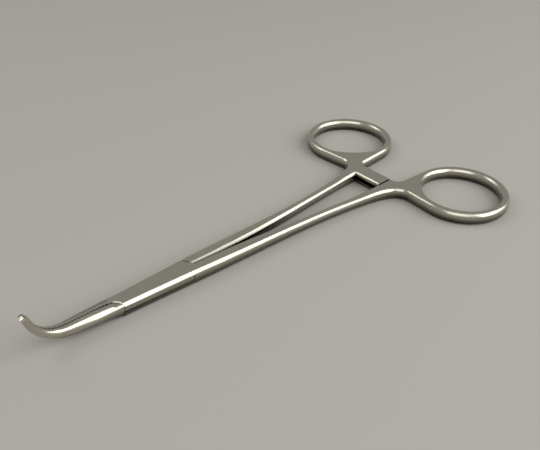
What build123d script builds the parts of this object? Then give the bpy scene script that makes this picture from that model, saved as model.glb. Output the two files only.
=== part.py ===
from build123d import *
import math
import os

# Dissecting forceps of the box-lock pattern, jaws closed, lying on the underside.
# The lock pin stands at the origin along Z, the jaws point to -X and the finger rings to +X.
# The far half of the handle lies at +Y, and the near half mirrors it.

# Lock
box_height = 4.4
box_jaw_half_width = 2.2
box_shank_half_width = 3.2
cheek_reach = 11.3
near_slant = 0.9
far_slant = 0.5
cheek_bevel = 0.35
cheek_lap = 1.1
tenon_thickness = 1.3
slot_clearance = 0.05
end_clearance = 0.06
pin_diameter = 2.2
pin_clearance = 0.03
tongue_length = 1.8
tongue_inset = 0.55

# Jaws
seam_clearance = 0.02
jaw_root_inset = 0.03
jaw_root_length = 2.8
jaw_ramp_length = 1.6
jaw_start_depth = 3.2
jaw_straight_end = 22.9
jaw_bend_depth = 2.55
jaw_bend_width = 1.75
jaw_bend_radius = 7.2
jaw_bend_angle = 72
jaw_tip_run = 2.5
jaw_tip_depth = 1.7
jaw_tip_width = 1.1
jaw_tip_bevel_run = 1.8
jaw_tip_bevel_depth = 0.75
jaw_shoulder = 0.9
jaw_roundness = 0.84
serration_pitch = 0.78
serration_depth = 0.28
serration_width = 0.5
serration_start = 12.6
serration_end_angle = 62

# Shanks, their edges as heights of evenly spaced control points
shank_length = 54.7
shank_height = 3.1
shank_inner = (0.05, 0.05, 2.20, 3.72)
shank_outer = (box_shank_half_width, 4.21, 3.80, 6.45)
taper_ease = 1.5
taper_settle = 25
shoulder = 1.2
shoulder_side_cut = 0.45
shoulder_last_cut = 0.2

# Finger rings and stems
ring_setback = 2.5
ring_gap = 16.4
ring_wall = 2.4
ring_hole_radius = 11.6
ring_height = 3.8
outer_tangent_angle = 184.7
inner_tangent_angle = 274
outer_tangent_run = 8
stem_outer_pull = 6
stem_inner_pull = 4
outer_crotch_reach = 5.1
crotch_radius = 2
stem_rise_length = 10
web_bulge = 1.05
web_half_angle = 40

# Ratchet
arm_setback = 0.9
arm_width = 5.3
arm_shoulder = 0.9
stem_inner = 4.5
arm_tip_clearance = 0.2
arm_clearance = 0.1
first_tooth_setback = 0.3
tooth_pitch = 2.5
tooth_height = 0.6
tooth_count = 3
tooth_steep_share = 0.12

# Sizes that follow from the ones above
box_mid = box_height / 2
ring_outer_radius = ring_hole_radius + ring_wall
ring_mid = ring_height / 2
stem_start = cheek_reach + shank_length
shank_top = ring_mid + shank_height / 2
shank_bottom = ring_mid - shank_height / 2
rise_end = stem_start + stem_rise_length
arm_start = rise_end + arm_setback
arm_end = arm_start + arm_width
ring_centre_x = arm_start + ring_setback + ring_outer_radius
ring_centre_y = ring_gap / 2 + ring_outer_radius
shoulder_cut = shoulder * (2 - math.sqrt(2))
shoulder_top_cut = shoulder * (math.tan(math.pi / 8) - math.tan(math.pi / 16))
ring_centre = Vector(ring_centre_x, ring_centre_y)
jaw_top = box_height - jaw_root_inset
bend_centre = Vector(-jaw_straight_end, 0, jaw_top + jaw_bend_radius)


def ring_point(radius, angle):
    """A plan point at a radius and angle from the far finger ring's centre."""
    turn = math.radians(angle)
    return ring_centre + Vector(math.cos(turn), math.sin(turn)) * radius


def shank_controls(heights):
    """Plan control points of one edge of the shank, from the lock to the stem."""
    step = shank_length / 3
    return [(cheek_reach + i * step, heights[i]) for i in range(4)]


def box_side():
    """The lock's far side in plan, which runs smoothly into the shank's outer edge."""
    slope = 3 * (shank_outer[1] - shank_outer[0]) / shank_length
    return Bezier(
        (cheek_reach, box_shank_half_width), (0, box_shank_half_width - cheek_reach * slope),
        (-cheek_reach, box_jaw_half_width),
    )


def steepness(face):
    """Upright part of a face's normal: 1 on a level face and 0 on an upright one."""
    return abs(face.normal_at().Z)


def ease_edges(lowest, highest, cut):
    """Takes off the edges where a shoulder's flats meet faces of a steepness in that range."""
    flat_edges = faces().filter_by(lambda face: 0.3 < steepness(face) < 0.95).edges()
    next_edges = faces().filter_by(lambda face: lowest < steepness(face) < highest).edges()
    shared = flat_edges.filter_by(lambda edge: edge in next_edges)
    chamfer(shared.filter_by(lambda edge: abs(abs(edge.center().X) - cheek_reach) > 0.01), cut)


def grind_shoulders(rims):
    """Cuts the rims of the active part back in four flats that follow an oval."""
    chamfer(rims, shoulder_cut)
    ease_edges(0.97, 1.1, shoulder_top_cut)
    ease_edges(-0.1, 0.1, shoulder_side_cut)
    ease_edges(-0.1, 0.1, shoulder_last_cut)


def bend_direction(angle):
    """Unit vector along the jaw towards its tip, after it has turned up by an angle."""
    turn = math.radians(angle)
    return Vector(-math.cos(turn), 0, math.sin(turn))


def bend_down(angle):
    """Unit vector from the bend's centre towards the jaw at an angle."""
    turn = math.radians(angle)
    return Vector(-math.sin(turn), 0, -math.cos(turn))


# One half of the handle: lock side, shank, stem and finger ring in a single plan outline,
# cut to the height seen from the side, with its shoulders ground along all the rims
with BuildPart() as handle:
    with BuildSketch():
        with BuildLine():
            side = box_side()
            Bezier(*shank_controls(shank_outer))
            Bezier(*shank_controls(shank_inner))
            outer_start = Vector(stem_start, shank_outer[3])
            inner_start = Vector(stem_start, shank_inner[3])
            slope_out = 3 * (shank_outer[3] - shank_outer[2]) / shank_length
            slope_in = 3 * (shank_inner[3] - shank_inner[2]) / shank_length
            outer_tangent = ring_point(ring_outer_radius, outer_tangent_angle)
            inner_tangent = ring_point(ring_outer_radius, inner_tangent_angle)
            down = Vector(1, 0).rotate(Axis.Z, outer_tangent_angle + 90)
            back = Vector(1, 0).rotate(Axis.Z, inner_tangent_angle - 90)
            stem_outer_end = outer_tangent + down * outer_tangent_run
            Bezier(
                outer_start, outer_start + Vector(1, slope_out) * stem_outer_pull,
                stem_outer_end + down * outer_crotch_reach, stem_outer_end,
            )
            Line(stem_outer_end, outer_tangent)
            ring_top_angle = (outer_tangent_angle + inner_tangent_angle) / 2 - 180
            ThreePointArc(
                outer_tangent, ring_point(ring_outer_radius, ring_top_angle), inner_tangent,
            )
            corner = inner_tangent + back * ((inner_tangent.X - arm_end) / -back.X)
            FilletPolyline(inner_tangent, corner, (arm_end, stem_inner), radius=crotch_radius)
            wall = Line((arm_end, stem_inner), (arm_start, stem_inner))
            Bezier(
                wall @ 1, wall @ 1 - Vector(stem_inner_pull, 0),
                inner_start + Vector(1, slope_in) * stem_inner_pull, inner_start,
            )
            Polyline(
                (cheek_reach, shank_inner[0]), (-cheek_reach, shank_inner[0]),
                (-cheek_reach, box_jaw_half_width),
            )
        make_face()
        with Locations(ring_centre):
            Circle(ring_hole_radius, mode=Mode.SUBTRACT)
    extrude(amount=box_height)
    with BuildSketch(Plane.XZ):
        with BuildLine():
            half_rise = stem_rise_length / 2
            far_end = ring_centre_x + 2 * ring_outer_radius
            upper = Bezier(
                (cheek_reach, box_height), (cheek_reach + taper_ease, box_height),
                (stem_start - taper_settle, shank_top), (stem_start, shank_top),
            )
            upper_rise = Bezier(
                upper @ 1, (stem_start + half_rise, shank_top),
                (rise_end - half_rise, ring_height), (rise_end, ring_height),
            )
            lower = Bezier(
                (cheek_reach, 0), (cheek_reach + taper_ease, 0),
                (stem_start - taper_settle, shank_bottom), (stem_start, shank_bottom),
            )
            lower_rise = Bezier(
                lower @ 1, (stem_start + half_rise, shank_bottom),
                (rise_end - half_rise, 0), (rise_end, 0),
            )
            Polyline(upper_rise @ 1, (far_end, ring_height), (far_end, 0), lower_rise @ 1)
            Polyline(
                upper @ 0, (-2 * cheek_reach, box_height), (-2 * cheek_reach, 0), lower @ 0,
            )
        make_face()
    extrude(amount=-2 * (ring_centre_y + ring_outer_radius), mode=Mode.INTERSECT)
    end_edges = faces().sort_by(Axis.X)[0].edges()
    smooth_joints = edges().filter_by(Axis.Y).filter_by_position(Axis.X, 0, rise_end + 0.01)
    grind_shoulders(edges().filter_by(Axis.Z, reverse=True) - end_edges - smooth_joints)

# The web keeps the edge of the finger hole nearly square where the stem meets the ring
with BuildPart() as web:
    with BuildSketch():
        with BuildLine():
            stem_angle = (outer_tangent_angle + inner_tangent_angle) / 2
            crest = ring_hole_radius + ring_wall / 2
            inner_arc = ThreePointArc(
                ring_point(crest, stem_angle - web_half_angle),
                ring_point(crest - web_bulge, stem_angle),
                ring_point(crest, stem_angle + web_half_angle),
            )
            ThreePointArc(inner_arc @ 0, ring_point(crest, stem_angle), inner_arc @ 1)
        make_face()
    extrude(amount=ring_height)

# Upper ratchet arm, with its saw teeth facing down
with BuildPart() as arm:
    arm_root = stem_inner + 2 * arm_shoulder
    arm_tip = -stem_inner + arm_tip_clearance
    valley = ring_mid + arm_clearance / 2 + tooth_height
    with BuildSketch(Plane.YZ.offset(arm_start)):
        with BuildLine():
            Polyline(
                (arm_root, valley), (arm_root, ring_height), (arm_tip, ring_height),
                (arm_tip, valley), close=True,
            )
        make_face()
    extrude(amount=arm_end - arm_start)
    fillet(faces().sort_by(Axis.Z)[-1].edges().filter_by(Axis.Y), arm_shoulder)
    with BuildSketch(Plane.YZ.offset(arm_start + arm_shoulder / 2)):
        for i in range(tooth_count):
            start = arm_tip + first_tooth_setback + i * tooth_pitch
            steep = start + tooth_pitch * (1 - tooth_steep_share)
            with BuildLine():
                Polyline(
                    (start, valley), (steep, valley - tooth_height),
                    (start + tooth_pitch, valley), close=True,
                )
            make_face()
    extrude(amount=arm_end - arm_start - arm_shoulder)


def jaw_section(middle, angle, depth, width, radius):
    """One D-shaped section's plane, with its origin on the biting face, and its sizes."""
    origin = middle + Vector(0, seam_clearance)
    return Plane(origin=origin, x_dir=(0, 1, 0), z_dir=bend_direction(angle)), depth, width, radius


def jaw_sections():
    """Sections of the far jaw from the lock, along the straight run and the bend, to the tip."""
    rows = []
    root_depth = jaw_top - jaw_root_inset
    root_width = box_jaw_half_width - seam_clearance - jaw_root_inset
    root = Vector(-cheek_reach, 0, jaw_top - root_depth / 2)
    rows.append(jaw_section(root, 0, root_depth, root_width, jaw_shoulder))
    ramp_end = cheek_reach + jaw_ramp_length
    straight_steps = 4
    for i in range(straight_steps):
        t = (i / straight_steps) ** 1.5
        depth = jaw_start_depth + (jaw_bend_depth - jaw_start_depth) * t
        width = root_width + (jaw_bend_width - root_width) * t
        x = -ramp_end - (jaw_straight_end - ramp_end) * i / straight_steps
        rows.append(jaw_section(Vector(x, 0, jaw_top - depth / 2), 0, depth, width, jaw_shoulder))
    bend_steps = 6
    for i in range(bend_steps + 1):
        t = i / bend_steps
        angle = jaw_bend_angle * t
        depth = jaw_tip_depth + (jaw_bend_depth - jaw_tip_depth) * (1 - t) ** 3
        width = jaw_bend_width + (jaw_tip_width - jaw_bend_width) * t
        middle = bend_centre + bend_down(angle) * (jaw_bend_radius + depth / 2)
        radius = min(jaw_shoulder, jaw_roundness * depth / 2)
        rows.append(jaw_section(middle, angle, depth, width, radius))
    tip = middle + bend_direction(angle) * jaw_tip_run
    rows.append(jaw_section(tip, angle, depth, width, radius))
    return rows


def groove_places():
    """Planes across the biting face, one at each serration."""
    places = []
    straight = jaw_straight_end - serration_start
    arc = math.radians(serration_end_angle) * jaw_bend_radius
    for i in range(int((straight + arc) / serration_pitch) + 1):
        run = i * serration_pitch
        angle = max(0, math.degrees((run - straight) / jaw_bend_radius))
        foot = Vector(-serration_start - run, seam_clearance, jaw_top)
        if angle > 0:
            foot = bend_centre + bend_down(angle) * jaw_bend_radius + Vector(0, seam_clearance)
        places.append(Plane(origin=foot, x_dir=bend_direction(angle), z_dir=bend_down(angle) * -1))
    return places


# Jaw: sections that follow the straight run, the upward bend and the tip
with BuildPart() as jaw:
    for place, depth, width, radius in jaw_sections():
        with BuildSketch(place):
            Rectangle(width, depth, align=(Align.MIN, Align.CENTER))
            fillet(vertices().sort_by(Axis.X)[-2:], radius)
    loft()
    place, depth, width, radius = jaw_sections()[0]
    with BuildSketch(place):
        Rectangle(width, depth, align=(Align.MIN, Align.CENTER))
        fillet(vertices().sort_by(Axis.X)[-2:], radius)
    extrude(amount=-jaw_root_length)
    tip_place = Plane(
        origin=jaw_sections()[-1][0].origin, x_dir=bend_down(jaw_bend_angle), z_dir=(0, 1, 0),
    )
    with BuildSketch(tip_place):
        with BuildLine():
            inner = -jaw_tip_depth / 2
            nose_turn = ThreePointArc(
                (inner, -jaw_tip_bevel_run),
                (inner + jaw_tip_bevel_depth * 0.3, -jaw_tip_bevel_run * 0.4),
                (inner + jaw_tip_bevel_depth, 0),
            )
            Polyline(nose_turn @ 1, (inner - 1, 0), (inner - 1, -jaw_tip_bevel_run), nose_turn @ 0)
        make_face()
    extrude(amount=box_height, both=True, mode=Mode.SUBTRACT)
    with BuildSketch(*groove_places()):
        with BuildLine():
            half = serration_width / 2
            Polyline((-half, 0), (half, 0), (0, -serration_depth), close=True)
        make_face()
    extrude(amount=-box_height, both=True, mode=Mode.SUBTRACT)

# Far half of the lock block, lapping over the near half inside it
with BuildPart() as far_cheek:
    with BuildSketch():
        with BuildLine():
            side = box_side()
            Polyline(
                side @ 0, (cheek_reach, -cheek_lap), (-cheek_reach, -cheek_lap), side @ 1,
            )
        make_face()
    extrude(amount=box_height)
    grind_shoulders(edges().filter_by(GeomType.BEZIER))


def end_space(slant):
    """Space beyond the lock's slanted and bevelled end at +X, on the far side of the seam."""
    margin = 1
    with BuildPart() as space:
        with BuildSketch(Plane.XZ):
            with BuildLine():
                Polyline(
                    (cheek_reach - cheek_bevel - margin, -margin), (cheek_reach, cheek_bevel),
                    (cheek_reach, box_height - cheek_bevel),
                    (cheek_reach - cheek_bevel - margin, box_height + margin),
                    (2 * cheek_reach, box_height + margin), (2 * cheek_reach, -margin),
                    close=True,
                )
            make_face()
        extrude(amount=2 * box_shank_half_width, dir=(-slant, 1, 0))
    return space.part


def lock_plan(reach, start_reach):
    """Plan between the lock's slanted end lines, at the shank end and at the jaw end."""
    side = 2 * box_shank_half_width
    shank_corner = reach - far_slant * side
    jaw_corner = start_reach - near_slant * side
    with BuildSketch() as plan:
        with BuildLine():
            Polyline(
                (reach, 0), (shank_corner, side), (-jaw_corner, side),
                (-start_reach, 0), (-jaw_corner, -side), (shank_corner, -side), close=True,
            )
        make_face()
    return plan.sketch


slot_reach = cheek_reach + end_clearance
tenon_plan = lock_plan(cheek_reach, cheek_reach)
slot_plan = lock_plan(slot_reach, slot_reach)
shank_trim = lock_plan(slot_reach, 3 * cheek_reach)
far_end_space = end_space(far_slant)
near_end_space = end_space(near_slant).rotate(Axis.Z, 180)
near_handle = mirror(handle.part, about=Plane.XZ)
near_web = mirror(web.part, about=Plane.XZ)
near_jaw = mirror(jaw.part, about=Plane.XZ)
lower_arm = arm.part.rotate(Axis((0, 0, ring_mid), (1, 0, 0)), 180)
slot_height = tenon_thickness + 2 * slot_clearance

# Half with the cheeks: far jaw, slotted box, near shank and ring, lower ratchet arm
with BuildPart() as box_half:
    add([near_handle, far_cheek.part])
    add([far_end_space, near_end_space], mode=Mode.SUBTRACT)
    add([jaw.part, near_web, lower_arm])
    with BuildSketch(Plane.XY.offset(box_mid - slot_height / 2)):
        add(slot_plan)
    extrude(amount=slot_height, mode=Mode.SUBTRACT)
    with Locations((0, 0, box_mid)):
        Cylinder(pin_diameter / 2, box_height, mode=Mode.SUBTRACT)

# Half with the tenon: near jaw, tenon through the slot, far shank and ring, upper ratchet arm
with BuildPart() as tenon:
    with BuildSketch(Plane.XY.offset(box_mid - tenon_thickness / 2)):
        with BuildLine():
            far_side = box_side()
            near_side = mirror(far_side, about=Plane.XZ)
            Line(far_side @ 0, near_side @ 0)
            Line(far_side @ 1, near_side @ 1)
        make_face()
        add(tenon_plan, mode=Mode.INTERSECT)
        with Locations((cheek_reach, box_shank_half_width / 2)):
            Rectangle(2 * tongue_length, box_shank_half_width - 2 * tongue_inset)
        with Locations((-cheek_reach, -box_jaw_half_width / 2)):
            Rectangle(2 * tongue_length, box_jaw_half_width - 2 * tongue_inset)
    extrude(amount=tenon_thickness)

with BuildPart() as tenon_half:
    add(handle.part)
    with BuildSketch():
        add(shank_trim)
    extrude(amount=box_height, mode=Mode.SUBTRACT)
    add([near_jaw, web.part, arm.part])
    with BuildSketch():
        add(slot_plan)
    extrude(amount=box_height, mode=Mode.SUBTRACT)
    add(tenon.part)
    with Locations((0, 0, box_mid)):
        Cylinder(pin_diameter / 2 + pin_clearance, box_height, mode=Mode.SUBTRACT)

# Lock pin, riveted in both cheeks and dressed flush with them
with BuildPart() as lock_pin:
    Cylinder(pin_diameter / 2, box_height, align=(Align.CENTER, Align.CENTER, Align.MIN))

box_half.part.label = "box_half"
tenon_half.part.label = "tenon_half"
lock_pin.part.label = "lock_pin"

os.makedirs("parts", exist_ok=True)
export_step(box_half.part, "parts/box_half.step")
export_step(tenon_half.part, "parts/tenon_half.step")
export_step(lock_pin.part, "parts/lock_pin.step")
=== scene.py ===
import math

import bmesh
import bpy
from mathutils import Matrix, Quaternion, Vector


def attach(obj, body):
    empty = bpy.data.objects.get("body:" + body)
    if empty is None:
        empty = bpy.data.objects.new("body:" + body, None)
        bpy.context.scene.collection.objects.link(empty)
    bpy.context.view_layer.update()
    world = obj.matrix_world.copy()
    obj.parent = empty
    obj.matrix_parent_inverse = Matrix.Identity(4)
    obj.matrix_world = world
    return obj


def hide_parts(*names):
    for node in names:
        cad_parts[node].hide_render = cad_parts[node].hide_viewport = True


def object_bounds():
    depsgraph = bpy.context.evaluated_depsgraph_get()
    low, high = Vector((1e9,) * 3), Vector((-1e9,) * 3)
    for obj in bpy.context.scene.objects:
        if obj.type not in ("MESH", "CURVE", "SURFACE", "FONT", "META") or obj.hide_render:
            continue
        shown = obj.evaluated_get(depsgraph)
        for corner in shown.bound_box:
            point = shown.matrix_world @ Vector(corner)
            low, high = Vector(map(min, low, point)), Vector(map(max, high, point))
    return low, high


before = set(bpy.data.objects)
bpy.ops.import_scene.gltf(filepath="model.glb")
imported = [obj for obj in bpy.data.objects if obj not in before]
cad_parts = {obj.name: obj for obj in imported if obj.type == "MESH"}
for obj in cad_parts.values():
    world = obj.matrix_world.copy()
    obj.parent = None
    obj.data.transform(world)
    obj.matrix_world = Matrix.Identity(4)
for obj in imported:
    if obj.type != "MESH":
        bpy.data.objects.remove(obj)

# Dissecting forceps with a box lock, in satin stainless steel, lying closed on a pale floor.
# Jaws point to -X, finger rings to +X, and the near half of the handle lies at -Y.

MM = 0.001
cad_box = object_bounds()

# The photograph's view
FRAME_WIDTH = 540
SENSOR = 36
FOCAL_PIXELS = 674.9
CENTRE_DROP = 14.48
CAMERA_AZIMUTH = math.radians(-43.06)
CAMERA_ELEVATION = math.radians(35.42)
CAMERA_ROLL = math.radians(1.51)
CAMERA_PLACE = Vector((-64.63, -109.29, 105.59)) * MM

# Finish of the halves
MERGE_DISTANCE = 0.0005 * MM
FLAT_ANGLE = math.radians(0.4)
CREASE_ANGLE = math.radians(32)
DRESSED_ANGLE = math.radians(35)


def linear(code):
    """An sRGB hex colour as the linear colour that the shaders take."""
    parts = [int(code[i:i + 2], 16) / 255 for i in (1, 3, 5)]
    light = [c / 12.92 if c <= 0.04045 else ((c + 0.055) / 1.055) ** 2.4 for c in parts]
    return (*light, 1.0)


def add_node(tree, kind, values=None, links=None, **settings):
    """Adds a node with its settings, its input values and the sockets that feed it."""
    node = tree.nodes.new(kind)
    for name, value in settings.items():
        setattr(node, name, value)
    for socket, value in (values or {}).items():
        node.inputs[socket].default_value = value
    for socket, source in (links or {}).items():
        tree.links.new(source, node.inputs[socket])
    return node


def new_material(name):
    """A material with an empty node tree and its output node."""
    material = bpy.data.materials.new(name)
    material.use_nodes = True
    material.node_tree.nodes.clear()
    return material, material.node_tree, add_node(material.node_tree, "ShaderNodeOutputMaterial")


# Satin stainless steel: a warm grey that blurs the lamps to soft bands. The grain takes the
# glassy look off the bands, and is drawn at 0.3 mm, coarser than blasted steel's, which would
# be too fine to see. Clouds in the gloss keep long faces from looking even. Painted shade
# darkens the crevices, the undersides and the line of the bite. Sizes are in mm.
STEEL_COLOUR = linear("#c0bcad")
STEEL_SHADE_AND_PIT = linear("#2b2723")
STEEL_ROUGHNESS = (0.22, 0.30)
GRAIN = 0.30
CLOUD = 7.0
GLOSS_SPREAD = (0.35, 0.65)
GRAIN_DETAIL = 2.0
CLOUD_DETAIL = 3.0
GRAIN_STRENGTH = 0.12
GRAIN_DEPTH = 0.02
# Painted shade in crevices: occlusion within this distance darkens them
CREVICE = 0.6
CREVICE_SHADE = (0.5, 0.9)
# Painted shade under the forceps: occlusion within this distance darkens undersides and lower
# flanks
UNDERSIDE = 4.0
UNDERSIDE_SHADE = (0.45, 0.97)
UNDERSIDE_DARK = 0.15
SHADE_SAMPLES = 8
# Shading normals lean up above the middle of a flank and down below it, as on an oval, and
# outwards on the jaws' tops, as on a dome: the flats read as the rounder forging of the photo
OVAL_MIDDLE = 2.5
OVAL_HALF = 1.6
OVAL_LEAN = 0.9
OVAL_FADE = (-24, -16)
JAW_ROOT = (-12.0, -11.3)
JAW_LEAN = 0.38
# Painted shade along the bite, and the small dark pit on the near jaw
SEAM_SHADE_BAND = (0.08, 0.20)
SEAM_DARK = 0.5
PIT_CENTRE = (-15.92, -1.07, 4.25)
PIT_RADIUS = 0.24


def satin_steel():
    """Satin stainless steel with grain, painted shade in crevices, on undersides and along the
    bite, and one small pit.
    """
    material, tree, output = new_material("satin stainless steel")
    place = add_node(tree, "ShaderNodeTexCoord").outputs["Object"]
    height = add_node(tree, "ShaderNodeSeparateXYZ", None, {"Vector": place})
    grain = add_node(
        tree, "ShaderNodeTexNoise", {"Scale": 1 / (GRAIN * MM), "Detail": GRAIN_DETAIL},
        {"Vector": place},
    )
    cloud = add_node(
        tree, "ShaderNodeTexNoise", {"Scale": 1 / (CLOUD * MM), "Detail": CLOUD_DETAIL},
        {"Vector": place},
    )
    gloss = add_node(
        tree, "ShaderNodeMapRange",
        {"From Min": GLOSS_SPREAD[0], "From Max": GLOSS_SPREAD[1],
         "To Min": STEEL_ROUGHNESS[0], "To Max": STEEL_ROUGHNESS[1]},
        {"Value": cloud.outputs["Fac"]},
    )
    # Painted shade: crevices darken by their occlusion
    crevice = add_node(
        tree, "ShaderNodeAmbientOcclusion", {"Distance": CREVICE * MM}, samples=SHADE_SAMPLES,
    )
    crevice_shading = add_node(
        tree, "ShaderNodeMapRange",
        {"From Min": CREVICE_SHADE[0], "From Max": CREVICE_SHADE[1]},
        {"Value": crevice.outputs["AO"]},
    )
    # Painted shade: undersides and lower flanks darken by their occlusion near the floor
    shade = add_node(
        tree, "ShaderNodeAmbientOcclusion", {"Distance": UNDERSIDE * MM}, samples=SHADE_SAMPLES,
    )
    underside_shading = add_node(
        tree, "ShaderNodeMapRange",
        {"From Min": UNDERSIDE_SHADE[0], "From Max": UNDERSIDE_SHADE[1],
         "To Min": UNDERSIDE_DARK, "To Max": 1.0},
        {"Value": shade.outputs["AO"]},
    )
    from_pit = add_node(
        tree, "ShaderNodeVectorMath", {1: Vector(PIT_CENTRE) * MM}, {0: place},
        operation="DISTANCE",
    )
    pit = add_node(
        tree, "ShaderNodeMapRange",
        {"From Min": PIT_RADIUS * MM / 2, "From Max": PIT_RADIUS * MM},
        {"Value": from_pit.outputs["Value"]},
    )
    seam_side = add_node(
        tree, "ShaderNodeMath", None, {0: height.outputs["Y"]}, operation="ABSOLUTE",
    )
    # Painted shade: a narrow band along the bite line of the jaws darkens
    seam_shade = add_node(
        tree, "ShaderNodeMapRange",
        {"From Min": SEAM_SHADE_BAND[0] * MM, "From Max": SEAM_SHADE_BAND[1] * MM,
         "To Min": SEAM_DARK, "To Max": 1.0},
        {"Value": seam_side.outputs["Value"]},
    )
    behind_jaw = add_node(
        tree, "ShaderNodeMath", {1: JAW_ROOT[0] * MM}, {0: height.outputs["X"]},
        operation="GREATER_THAN",
    )
    bite = add_node(
        tree, "ShaderNodeMath", None,
        {0: seam_shade.outputs["Result"], 1: behind_jaw.outputs["Value"]}, operation="MAXIMUM",
    )
    # Painted shade in crevices, on undersides and along the bite, and the real pit, darken the
    # steel towards one dark colour
    bare_steel_share = crevice_shading.outputs["Result"]
    for mark in (underside_shading.outputs["Result"], bite.outputs["Value"], pit.outputs["Result"]):
        product = add_node(
            tree, "ShaderNodeMath", None, {0: bare_steel_share, 1: mark}, operation="MULTIPLY",
        )
        bare_steel_share = product.outputs["Value"]
    shaded_and_pitted = add_node(
        tree, "ShaderNodeMix", {6: STEEL_SHADE_AND_PIT, 7: STEEL_COLOUR}, {"Factor": bare_steel_share},
        data_type="RGBA",
    )
    facing = add_node(tree, "ShaderNodeNewGeometry").outputs["Normal"]
    upright = add_node(tree, "ShaderNodeSeparateXYZ", None, {"Vector": facing})
    level = add_node(
        tree, "ShaderNodeMath", None, {0: upright.outputs["Z"]}, operation="ABSOLUTE",
    )
    wall = add_node(
        tree, "ShaderNodeMath", {0: 1.0}, {1: level.outputs["Value"]}, operation="SUBTRACT",
    )
    lean = add_node(
        tree, "ShaderNodeMapRange",
        {"From Min": (OVAL_MIDDLE - OVAL_HALF) * MM, "From Max": (OVAL_MIDDLE + OVAL_HALF) * MM,
         "To Min": -OVAL_LEAN, "To Max": OVAL_LEAN},
        {"Value": height.outputs["Z"]},
    )
    handle = add_node(
        tree, "ShaderNodeMapRange",
        {"From Min": OVAL_FADE[0] * MM, "From Max": OVAL_FADE[1] * MM},
        {"Value": height.outputs["X"]},
    )
    wall_lean = add_node(
        tree, "ShaderNodeMath", None,
        {0: wall.outputs["Value"], 1: lean.outputs["Result"]}, operation="MULTIPLY",
    )
    oval_lean = add_node(
        tree, "ShaderNodeMath", None,
        {0: wall_lean.outputs["Value"], 1: handle.outputs["Result"]}, operation="MULTIPLY",
    )
    jaw = add_node(
        tree, "ShaderNodeMapRange",
        {"From Min": JAW_ROOT[0] * MM, "From Max": JAW_ROOT[1] * MM,
         "To Min": JAW_LEAN / MM, "To Max": 0.0},
        {"Value": height.outputs["X"]},
    )
    jaw_side = add_node(
        tree, "ShaderNodeMath", None,
        {0: jaw.outputs["Result"], 1: height.outputs["Y"]}, operation="MULTIPLY",
    )
    jaw_lean = add_node(
        tree, "ShaderNodeMath", None,
        {0: jaw_side.outputs["Value"], 1: level.outputs["Value"]}, operation="MULTIPLY",
    )
    tilt = add_node(
        tree, "ShaderNodeCombineXYZ", None,
        {"Y": jaw_lean.outputs["Value"], "Z": oval_lean.outputs["Value"]},
    )
    turned_tilt = add_node(
        tree, "ShaderNodeVectorTransform", None, {"Vector": tilt.outputs["Vector"]},
        vector_type="VECTOR", convert_from="OBJECT", convert_to="WORLD",
    )
    tilted = add_node(
        tree, "ShaderNodeVectorMath", None, {0: facing, 1: turned_tilt.outputs["Vector"]},
        operation="ADD",
    )
    rounded = add_node(
        tree, "ShaderNodeVectorMath", None, {0: tilted.outputs["Vector"]}, operation="NORMALIZE",
    )
    bump = add_node(
        tree, "ShaderNodeBump", {"Strength": GRAIN_STRENGTH, "Distance": GRAIN_DEPTH * MM},
        {"Height": grain.outputs["Fac"], "Normal": rounded.outputs["Vector"]},
    )
    shader = add_node(
        tree, "ShaderNodeBsdfPrincipled", {"Metallic": 1.0},
        {"Base Color": shaded_and_pitted.outputs[2], "Roughness": gloss.outputs["Result"],
         "Normal": bump.outputs["Normal"]},
    )
    tree.links.new(shader.outputs["BSDF"], output.inputs["Surface"])
    return material


# Matt studio paper: pale, even and without a highlight, so that only shadows mark it
PAPER_COLOUR = linear("#aaa7a0")
PAPER_ROUGHNESS = 0.9
PAPER_SPECULAR = 0.2


def paper_floor():
    """Plain pale studio paper."""
    material, tree, output = new_material("matt studio paper")
    shader = add_node(
        tree, "ShaderNodeBsdfPrincipled",
        {"Base Color": PAPER_COLOUR, "Roughness": PAPER_ROUGHNESS,
         "Specular IOR Level": PAPER_SPECULAR},
    )
    tree.links.new(shader.outputs["BSDF"], output.inputs["Surface"])
    return material


# Near jaw's root, which is ground lower and thinner than the cheek beside it, and the far
# jaw's step at the lock, both in mm
HANDLE_START = -11.0
ROOT_END = -9.2
ROOT_TOP_GRIND = (-17.0, -11.6)
ROOT_CUTS = 12
ROOT_UNDER_GRIND = (-12.4, -11.3)
ROOT_MIDDLE = 2.2
ROOT_SINK = 0.24
ROOT_RISE = 0.60
FAR_STEP_X = -11.3
FAR_STEP_Y = 1.4
FAR_STEP_Z = 4.36
FAR_STEP = 0.02
FAR_TOP = 4.4
STEP_MERGE = 0.1

# Edges dressed by hand, as two corners of a box round them and the width taken off, in mm
DRESSED_EDGES = {
    "box_half": (
        ((9.0, -3.3, 1.4), (9.9, -2.1, 3.0), 0.16, 1),
        ((-9.4, -3.3, 2.8), (9.9, -2.1, 3.0), 0.18, 1),
        ((-32.3, -0.1, 10.8), (-30.9, 1.3, 11.6), 0.35, 4),
    ),
    "tenon_half": (
        ((-9.3, -3.3, 1.4), (9.9, -2.1, 1.7), 0.12, 1),
        ((9.8, 0.3, 3.4), (10.95, 3.2, 4.45), 0.32, 1),
        ((-11.4, -2.3, 3.6), (-9.3, -0.05, 4.45), 0.30, 2),
        ((-32.3, -1.3, 10.8), (-30.9, 0.1, 11.6), 0.35, 4),
    ),
}


def dress_edges(form, low, high, width, steps):
    """Takes off the sharp edges that lie between two corners."""
    low, high = Vector(low) * MM, Vector(high) * MM
    chosen = [
        edge for edge in form.edges
        if edge.calc_face_angle() > DRESSED_ANGLE and edge.is_convex
        and all(low[i] < vert.co[i] < high[i] for vert in edge.verts for i in range(3))
    ]
    bmesh.ops.bevel(
        form, geom=chosen, offset=width * MM, segments=steps, profile=0.5, affect="EDGES",
        clamp_overlap=True,
    )


def share_along(value, ends):
    """How far a value has come between two ends, eased at both."""
    share = min(max((value - ends[0]) / (ends[1] - ends[0]), 0.0), 1.0)
    return share * share * (3 - 2 * share)


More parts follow.
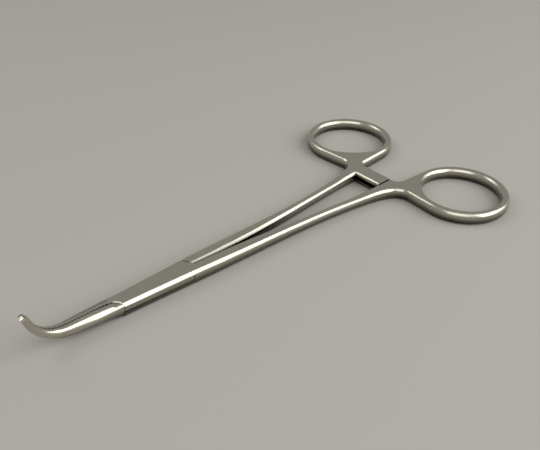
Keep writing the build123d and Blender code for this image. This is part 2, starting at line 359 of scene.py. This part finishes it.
def grind_jaw_root(form):
    """Grinds the near jaw lower and thinner where it comes out from under the cheek."""
    start, end = ROOT_TOP_GRIND
    for cut in range(ROOT_CUTS + 1):
        place = Vector((start + (end - start) * cut / ROOT_CUTS, 0, 0)) * MM
        bmesh.ops.bisect_plane(
            form, geom=[*form.verts, *form.edges, *form.faces], plane_co=place, plane_no=(1, 0, 0),
        )
    for vert in form.verts:
        x, y, z = vert.co / MM
        if y < 0 and x < ROOT_END:
            top = max(0.0, z / ROOT_MIDDLE - 1) * share_along(x, ROOT_TOP_GRIND)
            under = max(0.0, 1 - z / ROOT_MIDDLE) * share_along(x, ROOT_UNDER_GRIND)
            vert.co.z += (under * ROOT_RISE - top * ROOT_SINK) * MM


def level_far_jaw(form):
    """Takes away the hair's breadth between the box's top and the far jaw's."""
    step = [
        vert for vert in form.verts
        if abs(vert.co.x - FAR_STEP_X * MM) < FAR_STEP * MM and vert.co.y < FAR_STEP_Y * MM
        and vert.co.z > FAR_STEP_Z * MM
    ]
    for vert in step:
        vert.co.z = FAR_TOP * MM
    bmesh.ops.remove_doubles(form, verts=step, dist=STEP_MERGE * MM)


def finished_copy(node_name, piece_name, body, material):
    """A smooth-shaded copy of a CAD node, with flat faces joined and creases kept, in its place."""
    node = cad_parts[node_name]
    mesh = bpy.data.meshes.new(piece_name)
    form = bmesh.new()
    form.from_mesh(node.data)
    bmesh.ops.remove_doubles(form, verts=form.verts, dist=MERGE_DISTANCE)
    if node_name == "box_half":
        level_far_jaw(form)
    bmesh.ops.dissolve_limit(
        form, angle_limit=FLAT_ANGLE, edges=form.edges,
        verts=[vert for vert in form.verts if vert.co.x > HANDLE_START * MM],
    )
    for low, high, width, steps in DRESSED_EDGES.get(node_name, ()):
        dress_edges(form, low, high, width, steps)
    if node_name == "tenon_half":
        grind_jaw_root(form)
    for face in form.faces:
        face.smooth = True
    for edge in form.edges:
        edge.smooth = len(edge.link_faces) == 2 and edge.calc_face_angle() < CREASE_ANGLE
    form.to_mesh(mesh)
    form.free()
    mesh.materials.append(material)
    piece = bpy.data.objects.new(piece_name, mesh)
    bpy.context.scene.collection.objects.link(piece)
    shading = piece.modifiers.new("flat faces keep their shading", "WEIGHTED_NORMAL")
    shading.keep_sharp = True
    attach(piece, body)
    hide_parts(node_name)
    return piece


steel = satin_steel()
finished_copy("box_half", "ground_box_half", "cheek_body", steel)
finished_copy("tenon_half", "ground_tenon_half", "tenon_body", steel)
finished_copy("lock_pin", "dressed_lock_pin", "cheek_body", steel)

# Studio: pale floor, three soft boxes and a dim pale room
FLOOR_SIZE = 4.0
ROOM_COLOUR = linear("#d9d9d9")
ROOM_STRENGTH = 0.53
NEAREST_VIEW = 0.005
floor_mesh = bpy.data.meshes.new("floor")
half_floor = FLOOR_SIZE / 2
floor_mesh.from_pydata(
    [(-half_floor, -half_floor, 0), (half_floor, -half_floor, 0),
     (half_floor, half_floor, 0), (-half_floor, half_floor, 0)],
    [], [(0, 1, 2, 3)],
)
floor_mesh.materials.append(paper_floor())
floor = bpy.data.objects.new("floor", floor_mesh)
bpy.context.scene.collection.objects.link(floor)

world = bpy.data.worlds.new("studio room")
world.use_nodes = True
room = world.node_tree.nodes["Background"]
room.inputs["Color"].default_value = ROOM_COLOUR
room.inputs["Strength"].default_value = ROOM_STRENGTH
bpy.context.scene.world = world


def soft_box(name, place, width, height, power):
    """A rectangular area lamp that faces the forceps."""
    lamp = bpy.data.lights.new(name, "AREA")
    lamp.shape = "RECTANGLE"
    lamp.size = width
    lamp.size_y = height
    lamp.energy = power
    holder = bpy.data.objects.new(name, lamp)
    target = (cad_box[0] + cad_box[1]) / 2
    holder.location = target + Vector(place)
    holder.rotation_mode = "QUATERNION"
    holder.rotation_quaternion = (target - holder.location).to_track_quat("-Z", "Y")
    bpy.context.scene.collection.objects.link(holder)


soft_box("window soft box", (0.34, -0.50, 0.42), 0.95, 0.58, 4.6)
soft_box("left soft box", (-0.44, -0.36, 0.58), 0.70, 0.60, 2.0)
soft_box("back soft box", (-0.24, 0.50, 0.52), 0.36, 0.36, 1.0)

camera_data = bpy.data.cameras.new("camera")
camera_data.sensor_width = SENSOR
camera_data.lens = FOCAL_PIXELS / FRAME_WIDTH * SENSOR
camera_data.shift_y = CENTRE_DROP / FRAME_WIDTH
camera_data.clip_start = NEAREST_VIEW
camera = bpy.data.objects.new("camera", camera_data)
towards_camera = Vector((
    math.sin(CAMERA_AZIMUTH) * math.cos(CAMERA_ELEVATION),
    -math.cos(CAMERA_AZIMUTH) * math.cos(CAMERA_ELEVATION),
    math.sin(CAMERA_ELEVATION),
))
camera.rotation_mode = "QUATERNION"
camera.rotation_quaternion = (
    Quaternion(towards_camera, CAMERA_ROLL) @ (-towards_camera).to_track_quat("-Z", "Y")
)
camera.location = CAMERA_PLACE
bpy.context.scene.collection.objects.link(camera)
bpy.context.scene.camera = camera
bpy.context.scene.view_settings.view_transform = "Standard"

bpy.context.view_layer.update()
